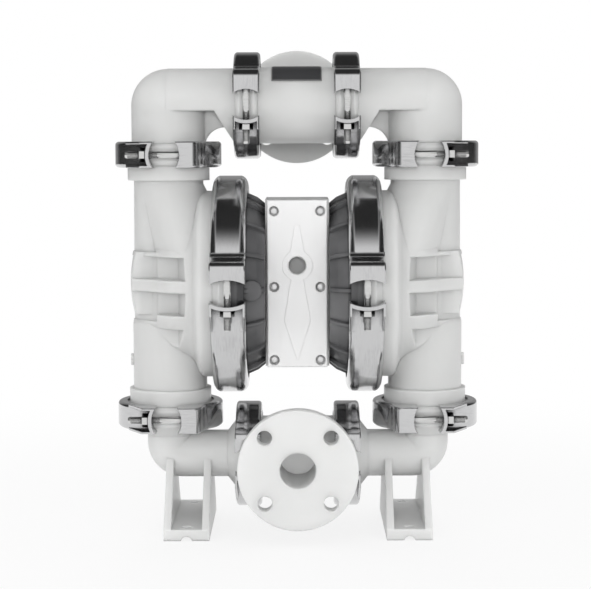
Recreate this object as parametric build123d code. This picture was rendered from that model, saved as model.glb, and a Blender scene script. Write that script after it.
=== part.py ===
from build123d import *
import math
import os

# Air operated double diaphragm pump with clamped plastic wetted parts and
# 1-1/2 inch class 150 flanges. The origin is on the floor under the middle of
# the pump, +Z is up and the inlet flange faces -Y. Sizes are in millimetres.

# Layout of the axes and joints
INLET_AXIS_Z = 80.5
INLET_RISE = 46.3
DISCHARGE_RISE = 52.5
BOWL_R = 101.6
AIR_RIM_R = 99.0
LARGE_LIP_GAP = 1.4
LARGE_LIP_DEPTH = 15.0
LARGE_CLAMP_R = max(BOWL_R, AIR_RIM_R) + LARGE_LIP_GAP + LARGE_LIP_DEPTH
COLUMN_REACH = 23.25
COLUMN_RISE = LARGE_CLAMP_R + COLUMN_REACH
COLUMN_X = 139.7
CHAMBER_JOINT_X = 72.0
TEE_JOINT_X = 53.3
FLANGE_FACE_Y = 110.0
LOWER_JOINT_Z = INLET_AXIS_Z + INLET_RISE
SHAFT_Z = LOWER_JOINT_Z + COLUMN_RISE
UPPER_JOINT_Z = SHAFT_Z + COLUMN_RISE
DISCHARGE_AXIS_Z = UPPER_JOINT_Z + DISCHARGE_RISE

# Pipe flanges of the two tees
FLANGE_R = 63.5
FLANGE_THICKNESS = 19.0
FLANGE_HOLE_CIRCLE_R = 49.2
FLANGE_HOLE_R = 7.95
FLANGE_HOLES = 4
PORT_R = 19.0
NECK_R = 30.0
NECK_FILLET = 5.0
TEE_R = 41.0
TEE_BORE_R = 33.0

# Band clamps: pressed sheet channels in two halves with bowed bolt ears
SHEET = 2.5
SEAT_GAP = 0.2
SMALL_CLAMP_R = 57.5
SMALL_LIP_DEPTH = 10.0
SMALL_HALF_FLAT = 10.5
SMALL_HALF_BASE = 14.0
SMALL_SHOULDER = 3.5
SMALL_EAR_GAP = 32.0
LARGE_HALF_FLAT = 12.0
LARGE_HALF_BASE = 18.6
LARGE_SHOULDER = 11.0
LARGE_EAR_GAP = 28.0
SHOULDER_BULGE = 0.18
EAR_BOW = 4.5
EAR_WALL = 4.0
EAR_REACH = 8.0
EAR_ROUND = 2.0
HORN_LENGTH = 27.0

# Clamp bolts and nuts, M8
BOLT_R = 4.0
BOLT_HOLE_R = 4.5
HEX_ACROSS = 13.0
HEAD_HEIGHT = 5.3
NUT_HEIGHT = 6.5
THREAD_TAIL = 15.0

# Liquid chambers
BOWL_CORNER_X = 99.0
DOME_START_R = BOWL_R - 14.0
DOME_START_X = 110.0
DOME_MIDDLE_R = BOWL_R - 24.6
DOME_MIDDLE_X = 131.0
DOME_END_R = 60.0
DOME_END_X = 150.0
CAVITY_BACK_R = DOME_END_R - 1.5
CAVITY_BACK_X = 117.0
CHAMBER_WALL = 7.0
POCKET_BANDS = ((8.6, 37.0), (-29.0, -4.0), (-75.0, -44.0))
POCKET_FLOOR_Y = 44.0
POCKET_FLOOR_X = 127.0
POCKET_MOUTH_X = 112.0
BELT_BANDS = ((33.0, 37.0), (-4.0, 8.6), (-44.0, -37.0))
BELT_END_R = 39.0
BELT_SET_BACK = 3.5
FAIRING_LOW = 37.0
FAIRING_HIGH = 110.0
FAIRING_X = 112.0
FAIRING_HALF_WIDTH = 46.0
FAIRING_HALF_DEPTH = 73.0
COLUMN_LOW_R = 40.2
COLUMN_WAIST_R = 38.4
COLUMN_TOP_R = 37.5
COLUMN_SHOULDER_DROP = 31.0
COLUMN_SHOULDER_FILLET = 12.0
COLUMN_BORE_R = 31.0
COLLAR_GAP = 3.0
COLLAR_R = SMALL_CLAMP_R - SMALL_LIP_DEPTH - COLLAR_GAP
COLLAR_HEIGHT = 13.8
END_BOSS_HALF_DEPTH = 35.0
END_BOSS_CORNER = 14.0
END_BOSS_X = 181.8
END_BOSS_CROWN_R = 138.0
END_BOSS_BAND = (-30.0, 37.0)
DRAIN_BOSS_R = 6.5
DRAIN_BOSS_DROP = 83.0
DRAIN_BOSS_PROUD = 2.7

# Discharge elbows
CAGE_R = 39.8
DISCHARGE_R = 40.2
ELBOW_WALL = 6.5
UNDERSIDE_DROP = 5.8
UNDERSIDE_TURN_X = 88.0
WEB_THICKNESS = 8.0
WEB_ARCH_X = 78.0
WEB_ARCH_R = 22.2
WEB_ARCH_RISE = 6.9

# Inlet elbows and feet
INLET_PIPE_R = 25.7
INLET_BORE_R = 19.5
BEND_R = 13.6
FLARE = 12.0
BORE_FLARE_START = 3.0
FOOT_INNER_X = 94.4
FOOT_WIDTH = 48.8
FOOT_HALF_DEPTH = 80.0
FOOT_PLATE = 11.8
LEG_THICKNESS = 8.0
LEG_WAIST_Z = 39.0
LEG_WAIST_Y = 55.0
LEG_TOP_Y = 24.0
GROOVE_R = 6.2
GROOVE_HEIGHT = 4.5
FOOT_BOLT_Y = 66.0
FOOT_BOLT_R = 5.5

# Balls, seats and seals
BALL_R = 25.0
BALL_LIFT = 12.0
BALL_SIDE_GAP = 0.5
BALL_SEAT_GAP = 0.2
SEAT_R = 34.0
SEAT_HEIGHT = 12.0
SEAT_CONTACT_R = 20.5
SEAT_MOUTH_R = 22.5
RIB_THICKNESS = 5.0
RIB_STOP_R = 12.0
RIB_STOP_HEIGHT = 6.0
RIBS = 4
RING_WIDTH = 3.2
RING_DEPTH = 3.0
RING_GAP = 0.1
SEAT_RING_R = 28.0
TEE_RING_R = 38.0

# Diaphragms and pistons
DIAPHRAGM_THICKNESS = 3.0
DIAPHRAGM_R = LARGE_CLAMP_R - 7.0
PISTON_R = 52.0
INNER_PISTON_THICKNESS = 8.5
OUTER_PISTON_HEIGHT = 19.0
PISTON_EDGE = 4.0
PISTON_TAPER = 1.0
PISTON_HUB_R = 31.0
PISTON_CROWN_R = 21.0
PISTON_TIP_R = 13.0
PISTON_TIP_HEIGHT = 3.0
STROKE = 14.0
CONVOLUTION = 5.0
CONVOLUTION_IN = 3.0
CONVOLUTION_OUT = 2.0

# Shaft and its bearing
SHAFT_R = 10.0
STUD_R = 7.0
STUD_LENGTH = 20.0
RUNNING_GAP = 0.05
BUSHING_WALL = 4.0
SHAFT_SEAL_WIDTH = 4.0

# Pilot spool beside the shaft
PILOT_DROP = 34.0
PILOT_R = 5.0
PILOT_WALL = 4.0
PILOT_REACH = 6.0
PILOT_WAIST_R = 3.5
PILOT_GROOVE_NEAR = 4.0
PILOT_GROOVE_FAR = 12.0

# Air chambers
BLOCK_HALF_WIDTH = 34.0
AIR_FLOOR_GAP = 4.0
AIR_BACK_R = AIR_RIM_R - 10.0
AIR_SHOULDER_R = AIR_RIM_R - 4.5
AIR_SHOULDER_X = 42.8
AIR_RIM_X = 53.0
AIR_RIB_HEIGHT = 5.0
AIR_RIB_THICKNESS = 4.0
AIR_RIBS = 16
AIR_RIB_CHAMFER = 2.0
AIR_RIB_STOP = 5.0
AIR_WALL = 7.0
AIR_FLOOR_TAPER = 4.0
AIR_BOSS_R = 11.0
AIR_BOSS_REACH = 98.0
AIR_SCREW_GAP = 0.5
AIR_SCREW_ANGLE = 54.87
AIR_SCREW_R = 4.0
AIR_SCREW_DEPTH = 14.0
AIR_HEAD_R = 6.5
AIR_HEAD_HEIGHT = 8.0

# Centre block and its front cover
BLOCK_TOP = 93.0
BLOCK_BOTTOM = -84.5
BLOCK_FRONT_Y = 50.0
BLOCK_BACK_Y = 50.0
GASKET = 1.5
COVER_HALF_WIDTH = 31.85
COVER_THICKNESS = 10.5
COVER_EDGE = 1.0
COVER_SCREW_X = 24.5
COVER_SCREW_ROWS = (-77.0, 1.0, 81.5)
COVER_SCREW_R = 3.0
COVER_SCREW_DEPTH = 14.0
SOCKET_HEAD_R = 5.0
SOCKET_HEAD_HEIGHT = 6.0
HEAD_RECESS = 7.0
HEAD_SIDE_GAP = 0.5
EXHAUST_RAISE = 23.8
EXHAUST_R = 9.2
EXHAUST_MOUTH_R = 10.4
EXHAUST_BOSS_R = 16.0
RELIEF = 0.9
DIAMOND_FOOT = -77.5
DIAMOND_WAIST = -34.5
DIAMOND_HALF_WIDTH = 14.0
DIAMOND_TOP_HALF_WIDTH = 4.0
ARROW_HALF_WIDTH = 10.0
ARROW_SHOULDER = 63.0
ARROW_SHOULDER_HALF_WIDTH = 3.0
ARROW_TIP = 67.0
ARROW_TIP_HALF_WIDTH = 2.5
EXHAUST_POCKET_X = 17.0
EXHAUST_POCKET_Z = 62.0
EXHAUST_POCKET_DEPTH = 20.0

# Air valve on the back of the block
VALVE_HALF_WIDTH = 30.0
VALVE_HALF_HEIGHT = 50.0
VALVE_DEPTH = 45.0
VALVE_CORNER = 6.0
VALVE_SPOOL_R = 12.0
VALVE_WAIST_R = 8.0
VALVE_LAND = 12.0
VALVE_LANDS = 3
VALVE_TRAVEL = 12.0
VALVE_CAP_THICKNESS = 8.0
VALVE_CAP_HALF = 18.0
VALVE_CAP_CORNER = 5.0
VALVE_PLUG = 6.0
AIR_INLET_R = 9.2
AIR_INLET_DEPTH = 9.6
AIR_PASSAGE_R = 6.0
VALVE_SCREW_X = 23.0
VALVE_SCREW_Z = 40.0
VALVE_SCREW_R = 3.0
VALVE_SCREW_DEPTH = 14.0


def turned(points):
    """Solid of revolution about Z from (radius, height) corners."""
    return revolve(Plane.XZ * make_face(Polyline(*points, close=True)), Axis.Z)


def turned_on_shaft(points):
    """Solid of revolution about the pump shaft from (radius, X) corners."""
    return Pos(0, 0, SHAFT_Z) * Rot(0, 90, 0) * turned(points)


def rod(radius, low, high):
    """Cylinder on Z between two heights."""
    return Pos(0, 0, (low + high) / 2) * Cylinder(radius, high - low)


def rod_x(radius, low, high, z=0.0, y=0.0):
    """Cylinder along X between two X values."""
    return Pos(0, y, z) * Rot(0, 90, 0) * rod(radius, low, high)


def rod_y(radius, low, high, x=0.0, z=0.0):
    """Cylinder along Y between two Y values."""
    return Pos(x, 0, z) * Rot(-90, 0, 0) * rod(radius, low, high)


def block(x, y, z):
    """Box from three (low, high) pairs."""
    size = Box(x[1] - x[0], y[1] - y[0], z[1] - z[0])
    return Pos((x[0] + x[1]) / 2, (y[0] + y[1]) / 2, (z[0] + z[1]) / 2) * size


def plate_xz(points, half_thickness):
    """Plate in the XZ plane, centred on Y = 0, from (X, Z) corners."""
    face = Plane.XZ * make_face(Polyline(*points, close=True))
    return extrude(face, half_thickness, both=True)


def other_side(solid):
    """The same moulding on the left side of the pump."""
    return mirror(solid, Plane.YZ)


def group(solids):
    """Separate solids that share one node."""
    return Compound(children=[part for solid in solids for part in solid.solids()])


# Clamped joints

def rim(clamp_r, half_flat, half_base, shoulder):
    """One rim of a clamped joint, from its face at height 0 upwards."""
    edge = clamp_r - SHEET - SEAT_GAP
    height = half_base - SHEET - SEAT_GAP
    corners = [(0, 0), (edge, 0), (edge, half_flat - SHEET), (edge - shoulder, height), (0, height)]
    return turned(corners)


def small_rim():
    return rim(SMALL_CLAMP_R, SMALL_HALF_FLAT, SMALL_HALF_BASE, SMALL_SHOULDER)


def channel(lip, crown, shoulder, half_flat, half_base):
    """Ring of revolution with a flat crown and rounded shoulders."""
    low_r = crown - shoulder
    middle_r = (low_r + crown) / 2 + SHOULDER_BULGE * (half_base - half_flat)
    middle_h = (half_flat + half_base) / 2 + SHOULDER_BULGE * shoulder
    outline = Line((lip, -half_base), (lip, half_base)) + Line((lip, half_base), (low_r, half_base))
    outline += ThreePointArc((low_r, half_base), (middle_r, middle_h), (crown, half_flat))
    outline += Line((crown, half_flat), (crown, -half_flat))
    outline += ThreePointArc((crown, -half_flat), (middle_r, -middle_h), (low_r, -half_base))
    outline += Line((low_r, -half_base), (lip, -half_base))
    return revolve(Plane.XZ * make_face(outline), Axis.Z)


def clamp_half(clamp_r, lip_depth, half_flat, half_base, shoulder, ear_gap, roofed):
    """Clamp half on the +X side, with its axis on Z and its ears at -Y and +Y.

    The ears for the nuts are open on top; the ears for the bolt heads are roofed.
    """
    lip = clamp_r - lip_depth
    inner_base = half_base - SHEET
    band = channel(lip, clamp_r, shoulder, half_flat, half_base)
    band -= channel(lip - 1, clamp_r - SHEET, shoulder - SHEET / 2, half_flat - SHEET / 2, inner_base)

    bow_r = (half_base ** 2 + EAR_BOW ** 2) / (2 * EAR_BOW)
    bow_x = ear_gap / 2 - bow_r
    seat = ear_gap / 2 + EAR_WALL
    bolt_y = clamp_bolt_y(clamp_r, ear_gap)
    room_y = bolt_y + HEX_ACROSS / 2 + HEAD_SIDE_GAP
    ear_y = room_y + SHEET if roofed else bolt_y + EAR_REACH
    far = ear_gap / 2 + HORN_LENGTH
    far_y = math.sqrt(clamp_r ** 2 - far ** 2)
    room_x = seat + HEAD_HEIGHT + HEAD_SIDE_GAP
    top = Line((bow_x, ear_y), (room_x, ear_y))
    if roofed:
        top += Spline((room_x, ear_y), (far, far_y), tangents=[(1, 0), (far_y, -far)])
    else:
        top += Line((room_x, ear_y), (far, far_y))
    side = make_face(top + Polyline((far, far_y), (far, 0), (bow_x, 0), (bow_x, ear_y)))
    horn = extrude(side, half_base, both=True)
    faces = horn.faces().filter_by(Axis.Z)
    rounded = [edge for edge in faces.edges() if edge.center().Y > clamp_r and edge.length > HEX_ACROSS]
    horn = fillet(rounded, EAR_ROUND)
    horn -= Cylinder(clamp_r - SHEET / 2, 4 * half_base)
    bow = Pos(bow_x, 0, 0) * rod_y(bow_r + EAR_WALL, 0, 2 * ear_y)
    if roofed:
        room = block((bow_x, room_x), (lip, room_y), (-inner_base, inner_base)) - bow
    else:
        room = extrude(side, inner_base, both=True) - Cylinder(clamp_r, 4 * half_base) - bow
    half = band + horn + mirror(horn, Plane.XZ)
    half -= room + mirror(room, Plane.XZ)
    half -= rod_x(BOLT_HOLE_R, 0, room_x, y=bolt_y) + rod_x(BOLT_HOLE_R, 0, room_x, y=-bolt_y)
    half -= Pos(bow_x, 0, 0) * rod_y(bow_r, -2 * ear_y, 2 * ear_y)
    return half - block((-2 * clamp_r, bow_x), (-2 * ear_y, 2 * ear_y), (-2 * half_base, 2 * half_base))


def clamp_bolt_y(clamp_r, ear_gap):
    """Distance of the bolt from the clamp's axis that clears the nut of the band."""
    nut_x = ear_gap / 2 + EAR_WALL
    return math.sqrt((clamp_r + SEAT_GAP) ** 2 - nut_x ** 2) + HEX_ACROSS / 2


def hexagon(height):
    return extrude(RegularPolygon(HEX_ACROSS / 2, 6, major_radius=False), height)


def clamp_bolt(clamp_r, ear_gap):
    """Bolt along X at the -Y ears, head on the -X side."""
    seat = ear_gap / 2 + EAR_WALL
    bolt = rod(BOLT_R, -seat, seat + NUT_HEIGHT + THREAD_TAIL)
    bolt += Pos(0, 0, -seat - HEAD_HEIGHT) * hexagon(HEAD_HEIGHT)
    return Pos(0, -clamp_bolt_y(clamp_r, ear_gap), 0) * Rot(0, 90, 0) * bolt


def clamp_nut(clamp_r, ear_gap):
    seat = ear_gap / 2 + EAR_WALL
    nut = Pos(0, 0, seat) * hexagon(NUT_HEIGHT) - rod(BOLT_R + RUNNING_GAP, seat - 1, seat + NUT_HEIGHT + 1)
    return Pos(0, -clamp_bolt_y(clamp_r, ear_gap), 0) * Rot(0, 90, 0) * nut


def front_and_back(solid):
    """A clamp has the same bolt at the front and at the back."""
    return [solid, mirror(solid, Plane.XZ)]


# Valve seats, balls and cages

def seat_cone_foot():
    """Depth below the seat's top where its cone meets the bore."""
    contact = math.asin(SEAT_CONTACT_R / BALL_R)
    return (SEAT_MOUTH_R - PORT_R) * math.tan(contact)


def ball_rest():
    """Height of the resting ball's centre above the joint face."""
    contact = math.asin(SEAT_CONTACT_R / BALL_R)
    contact_z = SEAT_HEIGHT / 2 - (SEAT_MOUTH_R - SEAT_CONTACT_R) * math.tan(contact)
    return contact_z + BALL_R * math.cos(contact) + BALL_SEAT_GAP


def seat():
    half = SEAT_HEIGHT / 2
    corners = [(PORT_R, -half), (SEAT_R, -half), (SEAT_R, half), (SEAT_MOUTH_R, half)]
    corners += [(PORT_R, half - seat_cone_foot())]
    return turned(corners) - ring_groove(SEAT_RING_R, -half, -half + RING_DEPTH)


def ring(radius, low, high, gap=RING_GAP):
    """Seal ring squeezed flat; with no gap it is the groove that holds it."""
    half = RING_WIDTH / 2 - gap
    return turned([(radius - half, low), (radius + half, low), (radius + half, high), (radius - half, high)])


def ring_groove(radius, low, high):
    return ring(radius, low, high, 0)


def seat_recess():
    """Room for half of a seat on one side of the joint face."""
    half = SEAT_HEIGHT / 2
    return rod(SEAT_R + SEAT_GAP, -half, half)


def cage_ribs(bore_r):
    """Guide ribs and stops that hold the ball over its seat."""
    foot = SEAT_HEIGHT / 2
    stop = ball_rest() + BALL_LIFT + math.sqrt(BALL_R ** 2 - RIB_STOP_R ** 2) + BALL_SEAT_GAP
    half = RIB_THICKNESS / 2
    outer = bore_r + 1
    guide = block((BALL_R + BALL_SIDE_GAP, outer), (-half, half), (foot, stop + RIB_STOP_HEIGHT))
    catch = block((RIB_STOP_R, outer), (-half, half), (stop, stop + RIB_STOP_HEIGHT))
    rib = guide + catch
    return [Rot(0, 0, 45 + turn * 360 / RIBS) * rib for turn in range(RIBS)]


# Wetted mouldings

def tee():
    """Tee on the X axis with its pipe flange facing -Y."""
    shell = rod_x(TEE_R, -TEE_JOINT_X, TEE_JOINT_X) + rod_y(NECK_R, -FLANGE_FACE_Y, 0)
    shell = fillet(shell.edges().filter_by(GeomType.BSPLINE), NECK_FILLET)
    shell += rod_y(FLANGE_R, -FLANGE_FACE_Y, -FLANGE_FACE_Y + FLANGE_THICKNESS)
    root = shell.edges().filter_by(GeomType.CIRCLE).filter_by(lambda edge: edge.radius < TEE_R)
    shell = fillet(root, NECK_FILLET)
    end = Pos(TEE_JOINT_X, 0, 0) * Rot(0, -90, 0) * small_rim()
    shell += end + other_side(end)
    shell -= rod_x(TEE_BORE_R, -2 * TEE_JOINT_X, 2 * TEE_JOINT_X)
    shell -= rod_y(PORT_R, -2 * FLANGE_FACE_Y, 0)
    for turn in range(FLANGE_HOLES):
        angle = math.radians(45 + turn * 360 / FLANGE_HOLES)
        x = FLANGE_HOLE_CIRCLE_R * math.cos(angle)
        z = FLANGE_HOLE_CIRCLE_R * math.sin(angle)
        shell -= rod_y(FLANGE_HOLE_R, -2 * FLANGE_FACE_Y, -TEE_R, x, z)
    for side in (1, -1):
        groove = ring_groove(TEE_RING_R, -RING_DEPTH, 1)
        shell -= Rot(0, side * 90, 0) * Pos(0, 0, TEE_JOINT_X) * groove
    return shell


def tee_ring():
    return Rot(0, 90, 0) * Pos(0, 0, TEE_JOINT_X) * ring(TEE_RING_R, -RING_DEPTH, 0)


def dome_outline(face_x):
    """Half outline of the bowl's back, as (radius, X), without its closing end."""
    outline = Polyline((0, face_x), (BOWL_R, face_x), (BOWL_R, BOWL_CORNER_X))
    back = [(BOWL_R, BOWL_CORNER_X), (DOME_START_R, DOME_START_X), (DOME_MIDDLE_R, DOME_MIDDLE_X),
            (DOME_END_R, DOME_END_X)]
    return outline + Spline(*back, tangents=[(0, 1), (-1, 1)])


def dome(face_x):
    """Back of the bowl as a solid, from the joint to the foot of the end boss."""
    end = Polyline((DOME_END_R, DOME_END_X), (0, DOME_END_X), (0, face_x))
    solid = revolve(Plane.XZ * make_face(dome_outline(face_x) + end), Axis.Z)
    return Pos(0, 0, SHAFT_Z) * Rot(0, 90, 0) * solid


def belts(face_x):
    """Level ribs that run from the bowl's back over the end boss."""
    end_x = END_BOSS_X - BELT_SET_BACK
    end = Polyline((DOME_END_R, DOME_END_X), (BELT_END_R, end_x), (0, end_x), (0, face_x))
    body = revolve(Plane.XZ * make_face(dome_outline(face_x) + end), Axis.Z)
    body = Pos(0, 0, SHAFT_Z) * Rot(0, 90, 0) * body
    return [body & block((face_x, end_x), (-BOWL_R, BOWL_R), (SHAFT_Z + low, SHAFT_Z + high))
            for low, high in BELT_BANDS]


def dome_pockets():
    """Notches at the front and back that leave three level ribs across the dome."""
    deep = 2 * BOWL_R
    floor_end = COLUMN_WAIST_R + SEAT_GAP
    plan = [(DOME_END_X + 1, floor_end), (POCKET_FLOOR_X, POCKET_FLOOR_Y), (POCKET_MOUTH_X, deep / 2),
            (DOME_END_X + 1, deep / 2)]
    side = make_face(Polyline(*plan, close=True))
    cuts = Part()
    for low, high in POCKET_BANDS:
        cut = Pos(0, 0, SHAFT_Z + low) * extrude(side, high - low)
        cuts += cut + mirror(cut, Plane.XZ)
    return cuts


def liquid_chamber():
    """Right liquid chamber: a bowl on the shaft axis with a column of pipe."""
    face_x = CHAMBER_JOINT_X + DIAPHRAGM_THICKNESS / 2
    joint = rim(LARGE_CLAMP_R, LARGE_HALF_FLAT, LARGE_HALF_BASE, LARGE_SHOULDER)
    shell = Pos(CHAMBER_JOINT_X, 0, SHAFT_Z) * Rot(0, 90, 0) * joint
    shell += dome(face_x) - dome_pockets()
    for belt in belts(face_x):
        shell += belt
    shell -= block((0, face_x), (-2 * BOWL_R, 2 * BOWL_R), (0, 2 * SHAFT_Z))

    shoulder_z = SHAFT_Z - COLUMN_SHOULDER_DROP
    lower = rod(COLUMN_LOW_R, LOWER_JOINT_Z, shoulder_z)
    lower = fillet(lower.edges().group_by(Axis.Z)[-1], COLUMN_SHOULDER_FILLET)
    waist_z = shoulder_z - COLUMN_SHOULDER_FILLET
    upper = turned([(0, waist_z), (COLUMN_WAIST_R, waist_z), (COLUMN_WAIST_R, SHAFT_Z),
                    (COLUMN_TOP_R, UPPER_JOINT_Z), (0, UPPER_JOINT_Z)])
    column = lower + upper
    collar = SMALL_HALF_BASE + COLLAR_HEIGHT
    column += rod(COLLAR_R, LOWER_JOINT_Z, LOWER_JOINT_Z + collar)
    column += rod(COLLAR_R, UPPER_JOINT_Z - collar, UPPER_JOINT_Z)
    column += Pos(0, 0, LOWER_JOINT_Z) * small_rim()
    column += Pos(0, 0, UPPER_JOINT_Z) * Rot(180, 0, 0) * small_rim()
    shell += Pos(COLUMN_X, 0, 0) * column
    wide = Pos(FAIRING_X, 0, SHAFT_Z + FAIRING_LOW) * Ellipse(FAIRING_HALF_WIDTH, FAIRING_HALF_DEPTH)
    narrow = Pos(COLUMN_X, 0, SHAFT_Z + FAIRING_HIGH) * Circle(COLUMN_TOP_R - SEAT_GAP)
    shell += loft([wide, narrow]) - block((0, face_x), (-BOWL_R, BOWL_R), (0, 2 * SHAFT_Z))

    low, high = END_BOSS_BAND
    boss = block((COLUMN_X, END_BOSS_X), (-END_BOSS_HALF_DEPTH, END_BOSS_HALF_DEPTH),
                 (SHAFT_Z + low, SHAFT_Z + high))
    boss = fillet(boss.edges().filter_by(Axis.Z).group_by(Axis.X)[-1], END_BOSS_CORNER)
    crown = Pos(END_BOSS_X - END_BOSS_CROWN_R, 0, SHAFT_Z + (low + high) / 2) * Sphere(END_BOSS_CROWN_R)
    shell += boss & crown
    drain_x = COLUMN_X + COLUMN_LOW_R + DRAIN_BOSS_PROUD
    shell += rod_x(DRAIN_BOSS_R, COLUMN_X + COLUMN_BORE_R, drain_x, SHAFT_Z - DRAIN_BOSS_DROP)

    shell -= turned_on_shaft([(0, face_x - 1), (BOWL_R - CHAMBER_WALL, face_x - 1),
                              (BOWL_R - CHAMBER_WALL, BOWL_CORNER_X - CHAMBER_WALL / 2),
                              (CAVITY_BACK_R, CAVITY_BACK_X), (0, CAVITY_BACK_X)])
    shell -= Pos(COLUMN_X, 0, 0) * rod(COLUMN_BORE_R, 0, 2 * UPPER_JOINT_Z)
    shell -= Pos(COLUMN_X, 0, LOWER_JOINT_Z) * seat_recess()
    shell -= Pos(COLUMN_X, 0, UPPER_JOINT_Z) * seat_recess()
    for rib in cage_ribs(COLUMN_BORE_R):
        shell += Pos(COLUMN_X, 0, LOWER_JOINT_Z) * rib
    return shell


def discharge_elbow():
    """Right discharge elbow: a ball cage under a half-round outlet pipe."""
    top = DISCHARGE_AXIS_Z

    def outline(shrink):
        cage = rod(CAGE_R - shrink, UPPER_JOINT_Z, top) + Pos(0, 0, top) * Sphere(CAGE_R - shrink)
        pipe = rod_x(DISCHARGE_R - shrink, TEE_JOINT_X, COLUMN_X, top)
        low = top - UNDERSIDE_DROP + shrink
        end_low = top - DISCHARGE_R + shrink
        flat_x = TEE_JOINT_X + SMALL_HALF_BASE
        above = plate_xz([(TEE_JOINT_X, 2 * top), (TEE_JOINT_X, end_low), (flat_x, end_low),
                          (UNDERSIDE_TURN_X, low), (COLUMN_X, low), (COLUMN_X, 2 * top)], CAGE_R * 2)
        return Pos(COLUMN_X, 0, 0) * cage + (pipe & above)

    shell = outline(0)
    shell += Pos(COLUMN_X, 0, UPPER_JOINT_Z) * small_rim()
    shell += Pos(TEE_JOINT_X, 0, top) * Rot(0, 90, 0) * small_rim()
    web = block((TEE_JOINT_X, COLUMN_X), (-WEB_THICKNESS / 2, WEB_THICKNESS / 2),
                (UPPER_JOINT_Z + SMALL_HALF_BASE, top))
    web -= rod_y(WEB_ARCH_R, -WEB_THICKNESS, WEB_THICKNESS, WEB_ARCH_X, UPPER_JOINT_Z + WEB_ARCH_RISE)
    shell += web
    shell -= outline(ELBOW_WALL)
    shell -= rod_x(TEE_BORE_R, TEE_JOINT_X - 1, TEE_JOINT_X + SMALL_HALF_BASE, top)
    shell -= Pos(COLUMN_X, 0, UPPER_JOINT_Z) * seat_recess()
    for rib in cage_ribs(CAGE_R - ELBOW_WALL):
        shell += Pos(COLUMN_X, 0, UPPER_JOINT_Z) * rib
    return shell


def bend(radius):
    """Quarter bend from +Z of the column down to -X along the inlet axis."""
    disc = Pos(BEND_R, 0, 0) * Circle(radius)
    disc &= Pos(radius * 2, 0, 0) * Rectangle(radius * 4, radius * 4)
    quarter = revolve(disc, Axis.Y, 90)
    return Pos(COLUMN_X - BEND_R, 0, INLET_AXIS_Z + BEND_R) * quarter


def inlet_elbow():
    """Right inlet elbow with its foot."""
    bend_x = COLUMN_X - BEND_R
    bend_z = INLET_AXIS_Z + BEND_R
    level = Pos(0, 0, INLET_AXIS_Z)

    def outline(radius, reach):
        pipe = level * rod_x(radius, TEE_JOINT_X - reach, bend_x)
        riser = Pos(COLUMN_X, 0, 0) * rod(radius, bend_z, LOWER_JOINT_Z + reach)
        return pipe + riser + bend(radius)

    shell = outline(INLET_PIPE_R, 0)
    mouth = SMALL_HALF_BASE - SHEET
    cone = turned([(0, 0), (TEE_R, 0), (TEE_R, mouth), (INLET_PIPE_R, mouth + FLARE), (0, mouth + FLARE)])
    shell += level * Pos(TEE_JOINT_X, 0, 0) * Rot(0, 90, 0) * (cone + small_rim())
    shell += Pos(COLUMN_X, 0, LOWER_JOINT_Z) * Rot(180, 0, 0) * (cone + small_rim())
    shell += foot()
    shell -= outline(INLET_BORE_R, 1)
    inner = [(0, -1), (TEE_BORE_R, -1), (TEE_BORE_R, BORE_FLARE_START),
             (INLET_BORE_R, BORE_FLARE_START + FLARE), (0, BORE_FLARE_START + FLARE)]
    shell -= level * Pos(TEE_JOINT_X, 0, 0) * Rot(0, 90, 0) * turned(inner)
    return shell - Pos(COLUMN_X, 0, LOWER_JOINT_Z) * seat_recess()


def foot():
    """Base plate and two legs that carry the inlet elbow."""
    low_x = FOOT_INNER_X
    high_x = FOOT_INNER_X + FOOT_WIDTH
    middle = (low_x + high_x) / 2
    base = block((low_x, high_x), (-FOOT_HALF_DEPTH, FOOT_HALF_DEPTH), (0, FOOT_PLATE))
    reach = 2 * FOOT_HALF_DEPTH
    base -= rod_y(GROOVE_R, -reach, reach, middle, GROOVE_HEIGHT - GROOVE_R)
    for y in (-FOOT_BOLT_Y, FOOT_BOLT_Y):
        base -= Pos(middle, y, 0) * rod(FOOT_BOLT_R, -1, 2 * FOOT_PLATE)
    end = FOOT_HALF_DEPTH
    side = Polyline((-end, FOOT_PLATE), (-end, FOOT_PLATE / 2), (end, FOOT_PLATE / 2), (end, FOOT_PLATE))
    side += ThreePointArc((end, FOOT_PLATE), (LEG_WAIST_Y, LEG_WAIST_Z), (LEG_TOP_Y, INLET_AXIS_Z))
    side += Line((LEG_TOP_Y, INLET_AXIS_Z), (-LEG_TOP_Y, INLET_AXIS_Z))
    side += ThreePointArc((-LEG_TOP_Y, INLET_AXIS_Z), (-LEG_WAIST_Y, LEG_WAIST_Z), (-end, FOOT_PLATE))
    leg = extrude(Plane.YZ * make_face(side), LEG_THICKNESS)
    return base + Pos(low_x, 0, 0) * leg + Pos(high_x - LEG_THICKNESS, 0, 0) * leg


# Air side

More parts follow.
